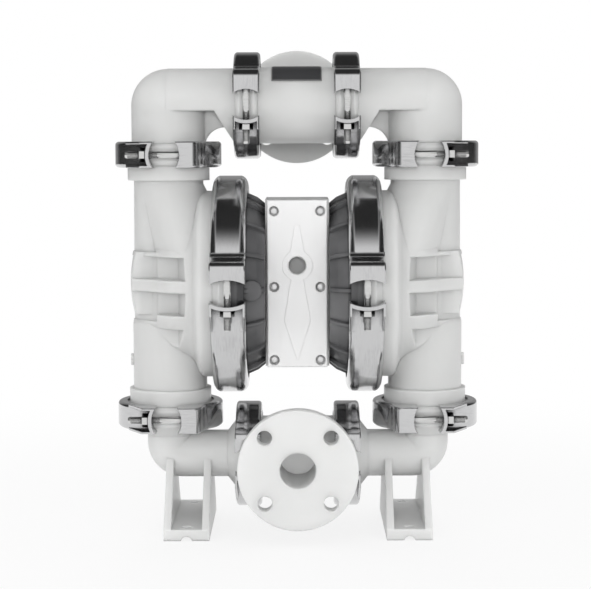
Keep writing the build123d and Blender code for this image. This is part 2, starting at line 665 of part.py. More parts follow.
def air_chamber():
    """Right air chamber: a ribbed dish on the side of the centre block."""
    face_x = CHAMBER_JOINT_X - DIAPHRAGM_THICKNESS / 2
    back_x = BLOCK_HALF_WIDTH
    low = AIR_RIB_HEIGHT
    outer = [(0, back_x), (AIR_BACK_R - low, back_x), (AIR_SHOULDER_R - low, AIR_SHOULDER_X),
             (AIR_RIM_R - low, AIR_RIM_X), (AIR_RIM_R - low, face_x), (0, face_x)]
    fin_end = face_x - AIR_RIB_STOP
    fins = [(0, back_x), (AIR_BACK_R - AIR_RIB_CHAMFER, back_x), (AIR_BACK_R, back_x + AIR_RIB_CHAMFER),
            (AIR_SHOULDER_R, AIR_SHOULDER_X), (AIR_RIM_R, AIR_RIM_X), (AIR_RIM_R, fin_end), (0, fin_end)]
    dish = turned_on_shaft(outer)
    ribbed = turned_on_shaft(fins)
    half = AIR_RIB_THICKNESS / 2
    for turn in range(AIR_RIBS):
        rib = block((back_x, face_x), (-half, half), (AIR_BACK_R / 2, 2 * AIR_RIM_R))
        dish += ribbed & (Pos(0, 0, SHAFT_Z) * Rot(turn * 360 / AIR_RIBS, 0, 0) * rib)
    joint = rim(LARGE_CLAMP_R, LARGE_HALF_FLAT, LARGE_HALF_BASE, LARGE_SHOULDER)
    dish += Pos(CHAMBER_JOINT_X, 0, SHAFT_Z) * Rot(0, -90, 0) * joint
    boss_x = (AIR_SHOULDER_X + AIR_RIM_X) / 2
    dish += rod_y(AIR_BOSS_R, 0, AIR_BOSS_REACH, boss_x, SHAFT_Z)
    dish -= block((face_x, 2 * face_x), (-2 * AIR_RIM_R, 2 * AIR_RIM_R), (0, 2 * SHAFT_Z))

    floor_x = air_floor_x()
    wall = AIR_WALL + low
    dish -= turned_on_shaft([(0, floor_x), (air_floor_r(), floor_x),
                             (AIR_RIM_R - wall, AIR_RIM_X), (AIR_RIM_R - wall, face_x + 1), (0, face_x + 1)])
    dish -= rod_x(SHAFT_R + 4 * RUNNING_GAP, 0, 2 * back_x, SHAFT_Z)
    dish -= rod_x(PILOT_R + 4 * RUNNING_GAP, 0, 2 * back_x, SHAFT_Z - PILOT_DROP)
    for y, z in air_screw_places():
        dish -= rod_x(AIR_SCREW_R, 0, 2 * back_x, z, y)
    return dish


def air_floor_x():
    """Inner face of the air chamber's back wall, clear of the piston's full stroke."""
    return shaft_shoulder_x() - STROKE - AIR_FLOOR_GAP


def air_floor_r():
    """Radius of the air chamber's floor, where its wall begins."""
    return AIR_BACK_R - AIR_WALL - AIR_RIB_HEIGHT - AIR_FLOOR_TAPER


def air_screw_places():
    """Screws stand inside the floor's edge, clear of the wall."""
    circle_r = air_floor_r() - AIR_HEAD_R - AIR_SCREW_GAP
    across = circle_r * math.cos(math.radians(AIR_SCREW_ANGLE))
    up = circle_r * math.sin(math.radians(AIR_SCREW_ANGLE))
    return [(y, SHAFT_Z + z) for y in (-across, across) for z in (-up, up)]


def socket_screw(radius, head_r, head_height, length):
    """Socket head screw on Z: the head stands on height 0 and the shank hangs below."""
    screw = rod(head_r, 0, head_height) + rod(radius, -length, 0)
    return screw - Pos(0, 0, head_height / 2) * extrude(RegularPolygon(head_r / 2, 6), head_height)


def air_chamber_screws():
    seat_x = air_floor_x()
    length = seat_x - BLOCK_HALF_WIDTH + AIR_SCREW_DEPTH
    screw = socket_screw(AIR_SCREW_R, AIR_HEAD_R, AIR_HEAD_HEIGHT, length)
    right = [Pos(seat_x, y, z) * Rot(0, 90, 0) * screw for y, z in air_screw_places()]
    return right + [other_side(screw) for screw in right]


def block_heights():
    return (SHAFT_Z + BLOCK_BOTTOM, SHAFT_Z + BLOCK_TOP)


def cover_screw_places():
    return [(x, SHAFT_Z + z) for x in (-COVER_SCREW_X, COVER_SCREW_X) for z in COVER_SCREW_ROWS]


def valve_screw_places():
    heights = (SHAFT_Z - VALVE_SCREW_Z, SHAFT_Z + VALVE_SCREW_Z)
    return [(x, z) for x in (-VALVE_SCREW_X, VALVE_SCREW_X) for z in heights]


def exhaust_pocket(high_y):
    """Room behind the exhaust port, open to the front."""
    return block((-EXHAUST_POCKET_X, EXHAUST_POCKET_X), (-2 * BLOCK_FRONT_Y, high_y),
                 (SHAFT_Z - EXHAUST_POCKET_Z, SHAFT_Z + EXHAUST_POCKET_Z))


def centre_block():
    body = block((-BLOCK_HALF_WIDTH, BLOCK_HALF_WIDTH), (-BLOCK_FRONT_Y, BLOCK_BACK_Y), block_heights())
    body -= rod_x(SHAFT_R + RUNNING_GAP + BUSHING_WALL, -2 * BLOCK_HALF_WIDTH, 2 * BLOCK_HALF_WIDTH, SHAFT_Z)
    body -= rod_x(PILOT_R + RUNNING_GAP + PILOT_WALL, -2 * BLOCK_HALF_WIDTH, 2 * BLOCK_HALF_WIDTH,
                  SHAFT_Z - PILOT_DROP)
    body -= exhaust_pocket(EXHAUST_POCKET_DEPTH - BLOCK_FRONT_Y)
    for x, z in cover_screw_places():
        body -= rod_y(COVER_SCREW_R, -2 * BLOCK_FRONT_Y, COVER_SCREW_DEPTH - BLOCK_FRONT_Y, x, z)
    for x, z in valve_screw_places():
        body -= rod_y(VALVE_SCREW_R, BLOCK_BACK_Y - VALVE_SCREW_DEPTH, 2 * BLOCK_BACK_Y, x, z)
    reach = BLOCK_HALF_WIDTH - AIR_SCREW_DEPTH
    for y, z in air_screw_places():
        for low, high in ((-2 * BLOCK_HALF_WIDTH, -reach), (reach, 2 * BLOCK_HALF_WIDTH)):
            body -= rod_x(AIR_SCREW_R, low, high, z, y)
    return body


def cover_plate(low_y, high_y):
    """Plate of the front cover's outline between two distances in front of the axis."""
    return block((-COVER_HALF_WIDTH, COVER_HALF_WIDTH), (-high_y, -low_y), block_heights())


def cover_reliefs():
    """Outlines of the raised figures above and below the exhaust port."""
    port = SHAFT_Z + EXHAUST_RAISE
    foot = SHAFT_Z + DIAMOND_FOOT
    waist = SHAFT_Z + DIAMOND_WAIST
    shoulder = SHAFT_Z + ARROW_SHOULDER
    tip = SHAFT_Z + ARROW_TIP
    diamond = [(0, foot), (DIAMOND_HALF_WIDTH, waist), (DIAMOND_TOP_HALF_WIDTH, port),
               (-DIAMOND_TOP_HALF_WIDTH, port), (-DIAMOND_HALF_WIDTH, waist)]
    arrow = [(-ARROW_HALF_WIDTH, port), (ARROW_HALF_WIDTH, port), (ARROW_SHOULDER_HALF_WIDTH, shoulder),
             (ARROW_TIP_HALF_WIDTH, tip), (-ARROW_TIP_HALF_WIDTH, tip), (-ARROW_SHOULDER_HALF_WIDTH, shoulder)]
    return diamond, arrow


def front_cover():
    inner = BLOCK_FRONT_Y + GASKET
    face = inner + COVER_THICKNESS
    cover = cover_plate(inner, face)
    cover = chamfer(cover.faces().sort_by(Axis.Y)[0].edges(), COVER_EDGE)
    exhaust_z = SHAFT_Z + EXHAUST_RAISE
    cover += rod_y(EXHAUST_BOSS_R, -face - RELIEF, -face, 0, exhaust_z)
    for points in cover_reliefs():
        relief = Plane.XZ.offset(face) * make_face(Polyline(*points, close=True))
        cover += extrude(relief, RELIEF)
    cover -= rod_y(EXHAUST_R, -2 * face, 0, 0, exhaust_z)
    mouth = Cone(EXHAUST_MOUTH_R, EXHAUST_R, 2 * RELIEF)
    cover -= Pos(0, -face, exhaust_z) * Rot(-90, 0, 0) * mouth
    for x, z in cover_screw_places():
        cover -= rod_y(COVER_SCREW_R, -2 * face, 0, x, z)
        cover -= rod_y(SOCKET_HEAD_R + HEAD_SIDE_GAP, -2 * face, HEAD_RECESS - face, x, z)
    return cover


def cover_gasket():
    gasket = cover_plate(BLOCK_FRONT_Y, BLOCK_FRONT_Y + GASKET)
    gasket -= exhaust_pocket(0)
    for x, z in cover_screw_places():
        gasket -= rod_y(COVER_SCREW_R, -2 * BLOCK_FRONT_Y, 0, x, z)
    return gasket


def cover_screws():
    seat_y = BLOCK_FRONT_Y + GASKET + COVER_THICKNESS - HEAD_RECESS
    length = seat_y - BLOCK_FRONT_Y + COVER_SCREW_DEPTH
    screw = Rot(90, 0, 0) * socket_screw(COVER_SCREW_R, SOCKET_HEAD_R, SOCKET_HEAD_HEIGHT, length)
    return [Pos(x, -seat_y, z) * screw for x, z in cover_screw_places()]


def valve_heights():
    return (SHAFT_Z - VALVE_HALF_HEIGHT, SHAFT_Z + VALVE_HALF_HEIGHT)


def valve_axis_y():
    return BLOCK_BACK_Y + GASKET + VALVE_DEPTH / 2


def valve_body():
    low_y = BLOCK_BACK_Y + GASKET
    high_y = low_y + VALVE_DEPTH
    body = block((-VALVE_HALF_WIDTH, VALVE_HALF_WIDTH), (low_y, high_y), valve_heights())
    body = fillet(body.edges().filter_by(Axis.Z).group_by(Axis.Y)[-1], VALVE_CORNER)
    body -= Pos(0, valve_axis_y(), SHAFT_Z) * Cylinder(VALVE_SPOOL_R + RUNNING_GAP, 3 * VALVE_HALF_HEIGHT)
    body -= rod_y(AIR_INLET_R, high_y - AIR_INLET_DEPTH, 2 * high_y, 0, SHAFT_Z)
    body -= rod_y(AIR_PASSAGE_R, valve_axis_y(), high_y, 0, SHAFT_Z)
    for x, z in valve_screw_places():
        body -= rod_y(VALVE_SCREW_R, 0, 2 * high_y, x, z)
        body -= rod_y(SOCKET_HEAD_R + HEAD_SIDE_GAP, high_y - HEAD_RECESS, 2 * high_y, x, z)
    return body


def valve_gasket():
    gasket = block((-VALVE_HALF_WIDTH, VALVE_HALF_WIDTH), (BLOCK_BACK_Y, BLOCK_BACK_Y + GASKET), valve_heights())
    for x, z in valve_screw_places():
        gasket -= rod_y(VALVE_SCREW_R, 0, 2 * BLOCK_BACK_Y, x, z)
    return gasket


def valve_screws():
    seat_y = BLOCK_BACK_Y + GASKET + VALVE_DEPTH - HEAD_RECESS
    length = seat_y - BLOCK_BACK_Y + VALVE_SCREW_DEPTH
    screw = Rot(-90, 0, 0) * socket_screw(VALVE_SCREW_R, SOCKET_HEAD_R, SOCKET_HEAD_HEIGHT, length)
    return [Pos(x, seat_y, z) * screw for x, z in valve_screw_places()]


def valve_cap():
    """Upper end cap of the air valve; its plug closes the spool bore."""
    low, high = valve_heights()
    half = VALVE_CAP_HALF
    y = valve_axis_y()
    cap = block((-half, half), (y - half, y + half), (high, high + VALVE_CAP_THICKNESS))
    cap = fillet(cap.edges().filter_by(Axis.Z), VALVE_CAP_CORNER)
    return cap + Pos(0, y, 0) * rod(VALVE_SPOOL_R, high - VALVE_PLUG, high + 1)


def valve_spool():
    """Spool with its lands, resting on the lower cap's plug."""
    low, high = valve_heights()
    foot = low + VALVE_PLUG
    length = high - low - 2 * VALVE_PLUG - VALVE_TRAVEL
    pitch = (length - VALVE_LAND) / (VALVE_LANDS - 1)
    spool = rod(VALVE_WAIST_R, foot, foot + length)
    for index in range(VALVE_LANDS):
        start = foot + index * pitch
        spool += rod(VALVE_SPOOL_R, start, start + VALVE_LAND)
    return Pos(0, valve_axis_y(), 0) * spool


# Shaft, pistons and diaphragms

def shaft_shoulder_x():
    return CHAMBER_JOINT_X - DIAPHRAGM_THICKNESS / 2 - INNER_PISTON_THICKNESS


def shaft():
    shoulder = shaft_shoulder_x()
    half = [(0, 0), (SHAFT_R, 0), (SHAFT_R, shoulder), (STUD_R, shoulder),
            (STUD_R, shoulder + STUD_LENGTH), (0, shoulder + STUD_LENGTH)]
    right = turned_on_shaft(half)
    return right + other_side(right)


def shaft_bushing():
    end = BLOCK_HALF_WIDTH - SHAFT_SEAL_WIDTH
    bore = SHAFT_R + RUNNING_GAP
    wall = bore + BUSHING_WALL
    return turned_on_shaft([(bore, -end), (wall, -end), (wall, end), (bore, end)])


def shaft_seal():
    start = BLOCK_HALF_WIDTH - SHAFT_SEAL_WIDTH
    bore = SHAFT_R + RUNNING_GAP
    wall = bore + BUSHING_WALL
    return turned_on_shaft([(bore, start), (wall, start), (wall, BLOCK_HALF_WIDTH), (bore, BLOCK_HALF_WIDTH)])


def pilot_sleeve():
    bore = PILOT_R + RUNNING_GAP
    wall = bore + PILOT_WALL
    end = BLOCK_HALF_WIDTH
    sleeve = turned_on_shaft([(bore, -end), (wall, -end), (wall, end), (bore, end)])
    return Pos(0, 0, -PILOT_DROP) * sleeve


def pilot_spool():
    end = air_floor_x() + PILOT_REACH
    near, far = PILOT_GROOVE_NEAR, PILOT_GROOVE_FAR
    right = turned_on_shaft([(0, 0), (PILOT_R, 0), (PILOT_R, near), (PILOT_WAIST_R, near),
                             (PILOT_WAIST_R, far), (PILOT_R, far), (PILOT_R, end), (0, end)])
    return Pos(0, 0, -PILOT_DROP) * (right + other_side(right))


def inner_piston():
    face = CHAMBER_JOINT_X - DIAPHRAGM_THICKNESS / 2
    back = shaft_shoulder_x()
    return turned_on_shaft([(STUD_R, back), (PISTON_HUB_R, back), (PISTON_R, face - PISTON_EDGE),
                            (PISTON_R, face), (STUD_R, face)])


def outer_piston():
    face = CHAMBER_JOINT_X + DIAPHRAGM_THICKNESS / 2
    stud_end = shaft_shoulder_x() + STUD_LENGTH
    top = face + OUTER_PISTON_HEIGHT
    return turned_on_shaft([(STUD_R, face), (PISTON_R - PISTON_EDGE, face),
                            (PISTON_R - PISTON_TAPER, face + PISTON_EDGE),
                            (PISTON_CROWN_R, top - PISTON_TIP_HEIGHT), (PISTON_TIP_R, top), (0, top),
                            (0, stud_end), (STUD_R, stud_end)])


def diaphragm():
    """Moulded disc: flat where it is clamped, with one convolution between."""
    half = DIAPHRAGM_THICKNESS / 2
    middle = CHAMBER_JOINT_X
    inner = PISTON_R + CONVOLUTION_IN
    outer = AIR_RIM_R - AIR_WALL - AIR_RIB_HEIGHT - CONVOLUTION_OUT
    crest = (inner + outer) / 2
    hole = STUD_R + BALL_SIDE_GAP
    near = [(hole, middle - half), (inner, middle - half), (crest, middle - half - CONVOLUTION),
            (outer, middle - half), (DIAPHRAGM_R, middle - half)]
    far = [(DIAPHRAGM_R, middle + half), (outer, middle + half), (crest, middle + half - CONVOLUTION),
           (inner, middle + half), (hole, middle + half)]
    return turned_on_shaft(near + far)


# Clamps in their places

def large_clamps():
    """Upper and lower halves on both sides, and their bolts and nuts."""
    sizes = (LARGE_CLAMP_R, LARGE_LIP_DEPTH, LARGE_HALF_FLAT, LARGE_HALF_BASE, LARGE_SHOULDER,
             LARGE_EAR_GAP)
    upper = Pos(CHAMBER_JOINT_X, 0, SHAFT_Z) * Rot(0, -90, 0)
    lower = Pos(CHAMBER_JOINT_X, 0, SHAFT_Z) * Rot(0, 90, 0)
    halves = {
        "large_clamp_upper_right": upper * clamp_half(*sizes, roofed=True),
        "large_clamp_lower_right": lower * clamp_half(*sizes, roofed=False),
    }
    bolts = front_and_back(lower * clamp_bolt(LARGE_CLAMP_R, LARGE_EAR_GAP))
    nuts = front_and_back(lower * clamp_nut(LARGE_CLAMP_R, LARGE_EAR_GAP))
    for name, solid in list(halves.items()):
        halves[name.replace("right", "left")] = other_side(solid)
    bolts += [other_side(bolt) for bolt in bolts]
    nuts += [other_side(nut) for nut in nuts]
    return halves, bolts, nuts


def small_clamps():
    """Column and tee clamps with their bolts and nuts."""
    sizes = (SMALL_CLAMP_R, SMALL_LIP_DEPTH, SMALL_HALF_FLAT, SMALL_HALF_BASE, SMALL_SHOULDER,
             SMALL_EAR_GAP)
    pair = group([clamp_half(*sizes, roofed=False), other_side(clamp_half(*sizes, roofed=True))])
    bolt = clamp_bolt(SMALL_CLAMP_R, SMALL_EAR_GAP)
    nut = clamp_nut(SMALL_CLAMP_R, SMALL_EAR_GAP)
    places = {
        "column_clamp_lower_right": Pos(COLUMN_X, 0, LOWER_JOINT_Z),
        "column_clamp_upper_right": Pos(COLUMN_X, 0, UPPER_JOINT_Z),
        "tee_clamp_inlet_right": Pos(TEE_JOINT_X, 0, INLET_AXIS_Z) * Rot(0, 90, 0),
        "tee_clamp_discharge_right": Pos(TEE_JOINT_X, 0, DISCHARGE_AXIS_Z) * Rot(0, 90, 0),
    }
    clamps, bolts, nuts = {}, [], []
    for name, place in places.items():
        clamps[name] = place * pair
        clamps[name.replace("right", "left")] = other_side(place * pair)
        for solids, fastener in ((bolts, bolt), (nuts, nut)):
            right = front_and_back(place * fastener)
            solids += right + [other_side(solid) for solid in right]
    return clamps, bolts, nuts


def check_valves():
    """Ball and seat at each column joint, and the rings under the seats."""
    nodes, rings = {}, []
    seal = ring(SEAT_RING_R, -SEAT_HEIGHT / 2, -SEAT_HEIGHT / 2 + RING_DEPTH)
    for level, z in (("inlet", LOWER_JOINT_Z), ("discharge", UPPER_JOINT_Z)):
        for side, x in (("left", -COLUMN_X), ("right", COLUMN_X)):
            nodes[f"ball_{level}_{side}"] = Pos(x, 0, z + ball_rest()) * Sphere(BALL_R)
            nodes[f"seat_{level}_{side}"] = Pos(x, 0, z) * seat()
            rings.append(Pos(x, 0, z) * seal)
    nodes["seat_o_rings"] = group(rings)
    return nodes


def model():
    """Every node of the pump by name."""
    nodes = {
        "centre_block": centre_block(),
        "front_cover": front_cover(),
        "cover_gasket": cover_gasket(),
        "cover_screws": group(cover_screws()),
        "air_chamber_screws": group(air_chamber_screws()),
        "valve_body": valve_body(),
        "valve_gasket": valve_gasket(),
        "valve_screws": group(valve_screws()),
        "valve_cap_top": valve_cap(),
        "valve_cap_bottom": mirror(valve_cap(), Plane.XY.offset(SHAFT_Z)),
        "valve_spool": valve_spool(),
        "pilot_sleeve": pilot_sleeve(),
        "pilot_spool": pilot_spool(),
        "shaft": shaft(),
        "shaft_bushing": shaft_bushing(),
        "shaft_seals": group([shaft_seal(), other_side(shaft_seal())]),
        "discharge_tee": Pos(0, 0, DISCHARGE_AXIS_Z) * Rot(0, 0, 180) * tee(),
        "inlet_tee": Pos(0, 0, INLET_AXIS_Z) * tee(),
    }
    rings = [Pos(0, 0, z) * tee_ring() for z in (INLET_AXIS_Z, DISCHARGE_AXIS_Z)]
    nodes["tee_o_rings"] = group(rings + [other_side(ring) for ring in rings])
    sided = {
        "inner_piston": inner_piston(),
        "outer_piston": outer_piston(),
        "diaphragm": diaphragm(),
        "liquid_chamber": liquid_chamber(),
        "inlet_elbow": inlet_elbow(),
        "discharge_elbow": discharge_elbow(),
    }
    for name, solid in sided.items():
        nodes[name + "_right"] = solid
        nodes[name + "_left"] = other_side(solid)
    nodes["air_chamber_right"] = air_chamber()
    nodes["air_chamber_left"] = Rot(0, 0, 180) * air_chamber()
    halves, bolts, nuts = large_clamps()
    nodes.update(halves)
    nodes["large_clamp_bolts"] = group(bolts)
    nodes["large_clamp_nuts"] = group(nuts)
    clamps, bolts, nuts = small_clamps()
    nodes.update(clamps)
    nodes["small_clamp_bolts"] = group(bolts)
    nodes["small_clamp_nuts"] = group(nuts)
    nodes.update(check_valves())
    return nodes


os.makedirs("parts", exist_ok=True)
for name, solid in model().items():
    export_step(solid, f"parts/{name}.step")
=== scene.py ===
import math

import bmesh
import bpy
from mathutils import Matrix, Vector


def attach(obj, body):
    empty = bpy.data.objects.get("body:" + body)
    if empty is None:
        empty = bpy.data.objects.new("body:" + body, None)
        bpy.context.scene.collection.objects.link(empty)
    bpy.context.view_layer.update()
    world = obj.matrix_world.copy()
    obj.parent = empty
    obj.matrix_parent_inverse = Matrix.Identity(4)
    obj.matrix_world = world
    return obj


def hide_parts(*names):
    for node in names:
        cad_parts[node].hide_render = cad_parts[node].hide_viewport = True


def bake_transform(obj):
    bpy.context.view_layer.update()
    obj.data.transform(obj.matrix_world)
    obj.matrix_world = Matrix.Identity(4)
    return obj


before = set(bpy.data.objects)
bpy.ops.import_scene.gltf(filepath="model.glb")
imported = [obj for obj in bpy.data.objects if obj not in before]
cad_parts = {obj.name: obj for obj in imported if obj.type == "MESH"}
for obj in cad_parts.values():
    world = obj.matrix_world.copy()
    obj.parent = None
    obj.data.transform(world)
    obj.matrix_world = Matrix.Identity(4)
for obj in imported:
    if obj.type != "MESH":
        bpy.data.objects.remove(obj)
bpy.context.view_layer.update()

# Photograph: size in pixels, and the camera that fits it
PHOTO_WIDTH = 591
PHOTO_CENTRE_X = 295.5
PUMP_CENTRE_X = 296.8
FOCAL_PIXELS = 1740
CAMERA_DISTANCE = 1.9
CAMERA_HEIGHT = 0.422
CAMERA_TILT = math.radians(5.0)
CAMERA_ROLL = math.radians(0.2)
SENSOR_WIDTH = 36.0

# Joints of the pump, in metres, as the solids have them
INLET_AXIS_Z = 0.0805
DISCHARGE_AXIS_Z = 0.4618
LOWER_JOINT_Z = 0.1268
UPPER_JOINT_Z = 0.4093
SHAFT_Z = 0.26805
COLUMN_X = 0.1397
TEE_JOINT_X = 0.0533
CHAMBER_JOINT_X = 0.072

# Clamp bolts
SMALL_CLAMP_R = 0.0575
SMALL_EAR_GAP = 0.032
LARGE_CLAMP_R = 0.118
LARGE_EAR_GAP = 0.028
EAR_WALL = 0.004
SEAT_GAP = 0.0002
BOLT_R = 0.004
HEX_ACROSS = 0.013
HEAD_HEIGHT = 0.0053
NUT_HEIGHT = 0.0065
THREAD_TAIL = 0.015
THREAD_LENGTH_UNDER_NUT = 0.012
THREAD_PITCH = 0.00125
THREAD_DEPTH = 0.00055
THREAD_RUNOUT = 0.0008
END_CHAMFER_LENGTH = 0.001
END_CHAMFER_DEPTH = 0.0006
SHANK_IN_HEAD = 0.001
HEX_CHAMFER = 0.0006

# Screws of the front cover
COVER_SCREW_X = 0.0245
COVER_SCREW_HEIGHTS = (-0.077, 0.001, 0.0815)
COVER_SCREW_SEAT_Y = -0.055
COVER_SCREW_R = 0.003
COVER_SCREW_LENGTH = 0.019
COVER_HEAD_R = 0.0048
COVER_HEAD_HEIGHT = 0.0032
COVER_HEAD_SIDE = 0.25
COVER_SOCKET_R = 0.0017
COVER_SOCKET_DEPTH = 0.0016

# Diaphragms, each in sectors between the shaft hole and the clamped rim
DIAPHRAGM_SECTORS = 8
DIAPHRAGM_HALF = 0.0015
DIAPHRAGM_HOLE_R = 0.0075
DIAPHRAGM_FLAT_R = 0.030
DIAPHRAGM_CLAMPED_R = 0.098
DIAPHRAGM_RIM_R = 0.111
FLEX_START_R = 0.055
FLEX_END_R = 0.085
FLEX_STEPS = 10
CONVOLUTION = 0.005

# Moulded plastics: flow clouds and fine skin, per metre, and how far light scatters in them
FLOW_CLOUDS = 14.0
FINE_SKIN = 900.0
SKIN_DEPTH = 0.0002
CLOUD_ROUGHNESS = 0.12
MILKY = {"Subsurface_Weight": 0.9, "Subsurface_Scale": 0.012, "Subsurface_Radius": (1, 1, 1), "IOR": 1.49}
MILKY_INLET = {**MILKY, "Subsurface_Weight": 1.0, "Subsurface_Scale": 0.040}
MILKY_COVER = {**MILKY, "Subsurface_Weight": 0.5, "Subsurface_Scale": 0.004}
# SHADED turns on painted shade in the corners of a moulded finish.
SHADED = {"shaded": True}

# Polished steel: clouds and brush marks, per metre, and the way the marks run
WEAR_CLOUDS = 30.0
BRUSH_MARKS = 90.0
BRUSH_DEPTH = 0.0001
BRUSH_ROUGHNESS = 0.10
WEAR_LEAST = 0.62
WEAR_BY_CLOUDS = 0.30
WEAR_BY_MARKS = 0.42
ROUND_Z = (1.0, 1.0, 14.0)
ROUND_X = (14.0, 1.0, 1.0)
BAND_LIGHT = (0.59, 0.59, 0.595)

# Painted shade in the corners: how far a corner reaches, and the dark colour that this shade and the wear
# give steel
CORNER_REACH = 0.010
CORNER_DARK = 0.30
CORNER_CLEAR = 0.85
WEAR_AND_SHADE_DARK = (0.07, 0.07, 0.072)

# Studio: light from all round, and how white the floor looks near and far from the pump
SKY = 0.86
FLOOR_SIZE = 6.0
FLOOR_GLOW = 0.80
FLOOR_NEAR = 0.35
FLOOR_FAR = 1.1

# What gloss sees: dark screens at the sides and above, bright in front and dim behind. Each edge is two
# values of a unit direction's X, Y or Z: where the brightness is none and where it is full.
SCREEN_GLOSS = 0.03
FRONT_GLOSS = 0.97
BACK_GLOSS = 0.30
SIDE_EDGE = (0.85, 0.45)
FRONT_EDGE = (0.45, 0.0)
FRONT_TOP_EDGE = (0.92, 0.60)
BACK_EDGE = (0.20, 0.45)
BACK_TOP_EDGE = (0.78, 0.40)

# Nameplate on the front of the discharge tee
PLATE_WIDTH = 0.0535
PLATE_HEIGHT = 0.0330
PLATE_THICKNESS = 0.0009
PLATE_BORDER = 0.0012
PLATE_RISE = 0.0004
PLATE_ANGLE = math.radians(61)
TEE_R = 0.041

# How finely round pieces are turned, which points are one point, and where an edge stays sharp
BOLT_SIDES = 16
SCREW_SIDES = 32
DOME_STEPS = 9
DOME_STEP = math.radians(9)
SECTOR_STEPS = 8
SAME_POINT = 1e-6
SHARP_ANGLE = math.radians(35)


class Value:
    """A socket in a node tree; Python's operators add Math nodes."""

    def __init__(self, nodes, socket):
        self.nodes = nodes
        self.socket = socket

    def math(self, operation, *others):
        return self.nodes.node("ShaderNodeMath", {"operation": operation}, self, *others)["Value"]

    def __add__(self, other):
        return self.math("ADD", other)

    __radd__ = __add__

    def __mul__(self, other):
        return self.math("MULTIPLY", other)

    __rmul__ = __mul__

    def __sub__(self, other):
        return self.math("SUBTRACT", other)

    def __rsub__(self, other):
        return self.nodes.node("ShaderNodeMath", {"operation": "SUBTRACT"}, other, self)["Value"]

    def step(self, none_at, full_at):
        """0 up to one value and 1 past the other, either way round, with a soft change between."""
        settings = {"interpolation_type": "SMOOTHSTEP"}
        ramp = self.nodes.node("ShaderNodeMapRange", settings, Value=self, From_Min=none_at,
                               From_Max=full_at)
        return ramp["Result"]


class Nodes:
    """A node tree that is built up by calls."""

    def __init__(self, tree):
        self.tree = tree

    def node(self, kind, settings=None, *values, **named):
        """Add a node: settings first, then values or links for its sockets.

        Sockets go by their order, their name or, where names repeat, their identifier.
        """
        node = self.tree.nodes.new(kind)
        for key, value in (settings or {}).items():
            setattr(node, key, value)
        for index, value in enumerate(values):
            self.feed(node.inputs[index], value)
        known = {socket.identifier: socket for socket in node.inputs}
        for key, value in named.items():
            self.feed(known.get(key) or node.inputs[key.replace("_", " ")], value)
        results = {out.name: Value(self, out) for out in reversed(node.outputs)}
        results.update({out.identifier: Value(self, out) for out in node.outputs})
        return results

    def feed(self, socket, value):
        if isinstance(value, Value):
            self.tree.links.new(value.socket, socket)
        else:
            socket.default_value = value


class Finish(Nodes):
    """One material: its nodes, its shader and what feeds it."""

    def __init__(self, name, **constants):
        self.material = bpy.data.materials.new(name)
        self.material.use_nodes = True
        super().__init__(self.material.node_tree)
        self.shader = self.tree.nodes["Principled BSDF"]
        self.feed_shader(**constants)

    def feed_shader(self, **named):
        for key, value in named.items():
            self.feed(self.shader.inputs[key.replace("_", " ")], value)

    def place(self):
        return self.node("ShaderNodeTexCoord")["Object"]

    def stretched(self, scale):
        return self.node("ShaderNodeMapping", None, Vector=self.place(), Scale=scale)["Vector"]

    def noise(self, where, scale, detail=2.0, roughness=0.5):
        return self.node("ShaderNodeTexNoise", None, Vector=where, Scale=scale, Detail=detail,
                         Roughness=roughness)["Fac"]

    def tint(self, factor, dark, light):
        """Colour between two tones by a factor."""
        mix = self.node("ShaderNodeMix", {"data_type": "RGBA"}, Factor_Float=factor,
                        A_Color=(*dark, 1), B_Color=(*light, 1))
        return mix["Result_Color"]

    def round_edges(self, radius):
        return self.node("ShaderNodeBevel", {"samples": 6}, radius)["Normal"]

    def relief(self, height, distance, strength, normal):
        return self.node("ShaderNodeBump", None, Strength=strength, Distance=distance, Height=height,
                         Normal=normal)["Normal"]

    def corners(self):
        """Painted shade from ambient occlusion: 0 deep in a corner and 1 in the open."""
        openness = self.node("ShaderNodeAmbientOcclusion", {"samples": 6}, Distance=CORNER_REACH)["AO"]
        return openness.step(CORNER_DARK, CORNER_CLEAR)


def moulded(name, dark, light, roughness, grain, edge, shaded=False, **constants):
    """Moulded plastic: faint flow clouds, a fine skin, softened edges and, where shaded, painted shade in
    the corners.
    """
    finish = Finish(name, **constants)
    clouds = finish.noise(finish.place(), FLOW_CLOUDS, 3.0)
    skin = finish.noise(finish.place(), FINE_SKIN, 2.0)
    # Painted shade: the corners darken the clouds, which then set the colour and the roughness.
    if shaded:
        clouds = clouds * finish.corners()
    finish.feed_shader(
        Base_Color=finish.tint(clouds, dark, light),
        Roughness=roughness + (clouds - 0.5) * CLOUD_ROUGHNESS,
        Normal=finish.relief(skin, SKIN_DEPTH, grain, finish.round_edges(edge)),
    )
    return finish.material


def polished(name, light, roughness, brush, edge, marks_run=ROUND_Z, grimy=True):
    """Polished metal: brush marks that run round an axis, small clouds and painted shade in the corners."""
    finish = Finish(name, Metallic=1.0)
    clouds = finish.noise(finish.place(), WEAR_CLOUDS, 3.0)
    marks = finish.noise(finish.stretched(marks_run), BRUSH_MARKS, 3.0, 0.6)
    wear_and_corner_shade = WEAR_LEAST + clouds * WEAR_BY_CLOUDS + marks * WEAR_BY_MARKS
    # Painted shade: ambient occlusion darkens the steel's colour in corners, on top of the random wear
    # tone.
    if grimy:
        wear_and_corner_shade = wear_and_corner_shade * finish.corners()
    finish.feed_shader(
        Base_Color=finish.tint(wear_and_corner_shade, WEAR_AND_SHADE_DARK, light),
        Roughness=roughness + (marks - 0.5) * BRUSH_ROUGHNESS,
        Normal=finish.relief(marks, BRUSH_DEPTH, brush, finish.round_edges(edge)),
    )
    return finish.material


